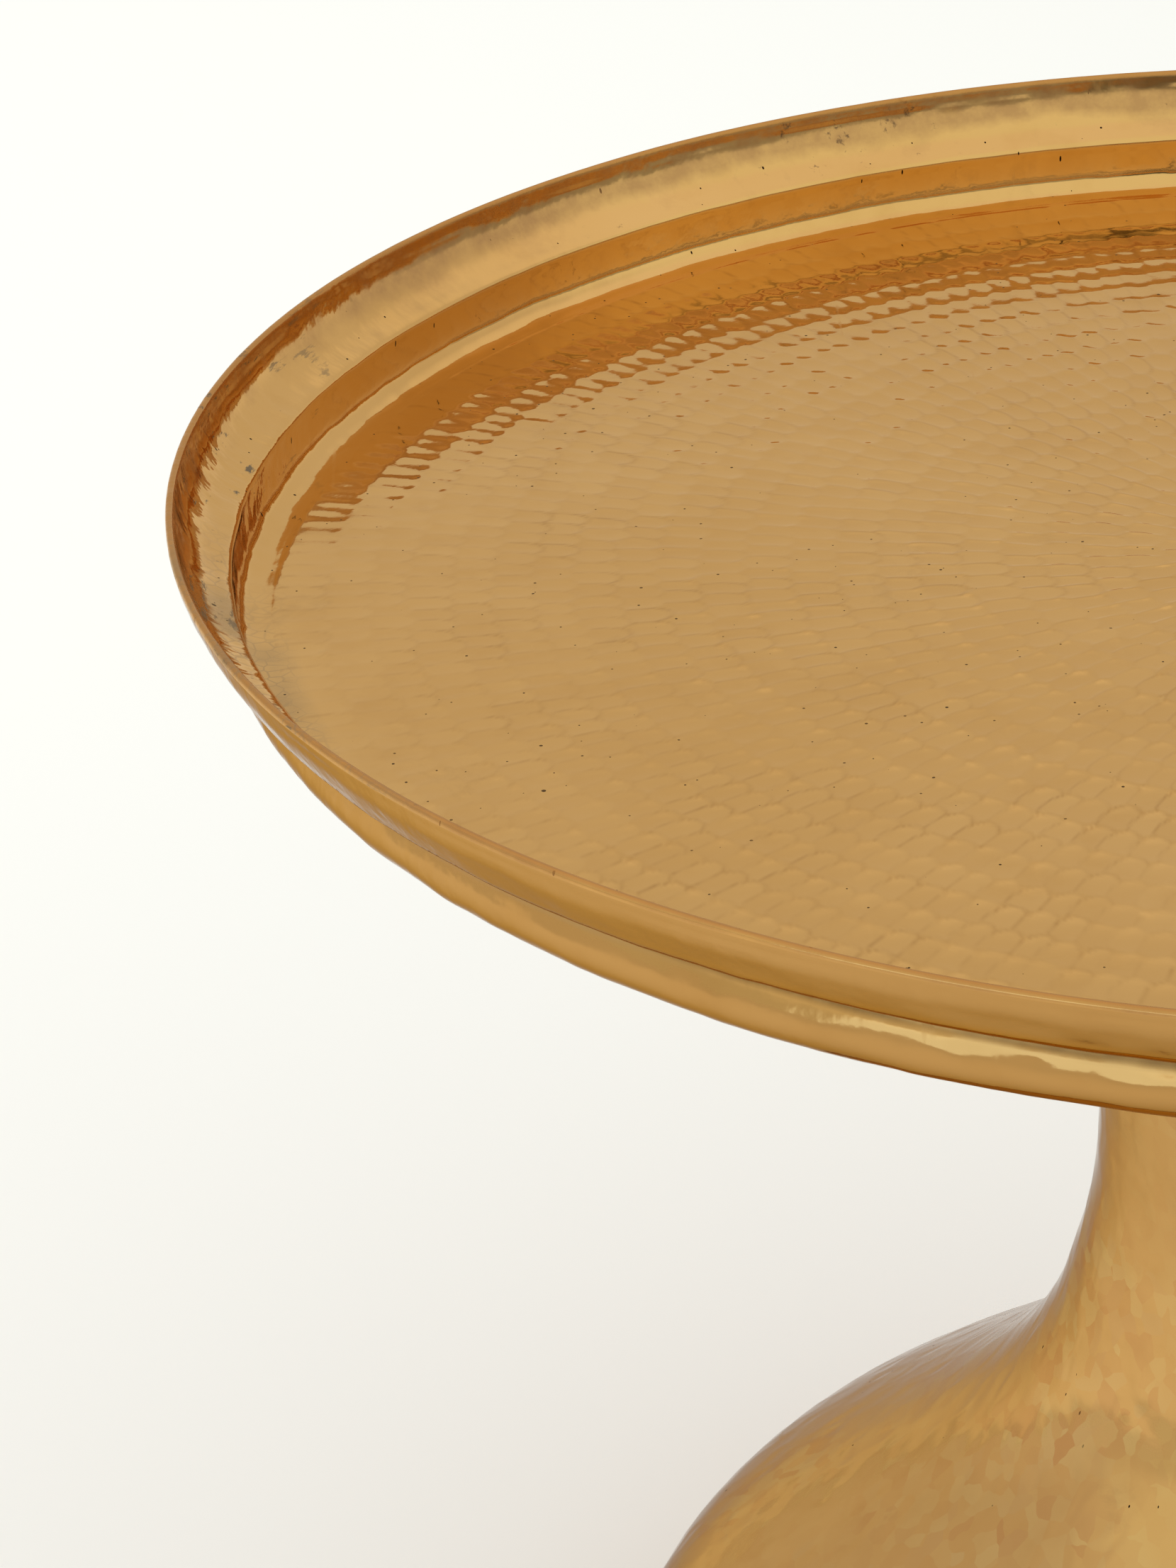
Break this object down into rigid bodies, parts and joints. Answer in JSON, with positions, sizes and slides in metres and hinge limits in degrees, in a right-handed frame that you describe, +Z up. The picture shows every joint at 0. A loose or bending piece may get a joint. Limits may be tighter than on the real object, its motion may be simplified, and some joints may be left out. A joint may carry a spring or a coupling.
{
  "type": "tray table",
  "caption": "Low round table: a loose hammered brass tray with a flared, grooved rim resting on a waisted sheet-brass pedestal with a wide domed foot.",
  "frame": {"origin": "centre of the foot on the floor, on the table's vertical axis", "axes": "+Z up along the table's axis of revolution; +X and +Y horizontal, +X through the first glide"},
  "size_m": [0.6, 0.6, 0.445],
  "materials": {
    "brass_tray": "polished, hammered",
    "brass_pedestal": "polished, hammered",
    "steel": "zinc plated",
    "felt": "dense wool felt",
    "rubber": "matte"
  },
  "bodies": {
    "pedestal": {"pedestal_lower": "brass_pedestal", "pedestal_upper": "brass_pedestal", "waist_sleeve": "brass_pedestal", "seat_plate": "steel", "seat_screw_1": "steel", "seat_screw_2": "steel", "seat_screw_3": "steel", "seat_screw_4": "steel", "seat_nut_1": "steel", "seat_nut_2": "steel", "seat_nut_3": "steel", "seat_nut_4": "steel", "foot_ring": "steel", "glide_1": "rubber", "glide_2": "rubber", "glide_3": "rubber", "glide_4": "rubber", "glide_5": "rubber", "glide_6": "rubber"},
    "turning_felt": {"seat_felt": "felt"},
    "tray": {"tray": "brass_tray", "tray_collar": "brass_tray"}
  },
  "joints": [
    {"name": "tray_turn", "type": "hinge", "parent": "pedestal", "child": "turning_felt", "pos_m": [0, 0, 0.4], "axis": [0, 0, 1], "continuous": true},
    {"name": "tray_lift", "type": "slide", "parent": "turning_felt", "child": "tray", "axis": [0, 0, 1], "range_m": [0, 0.12]}
  ]
}
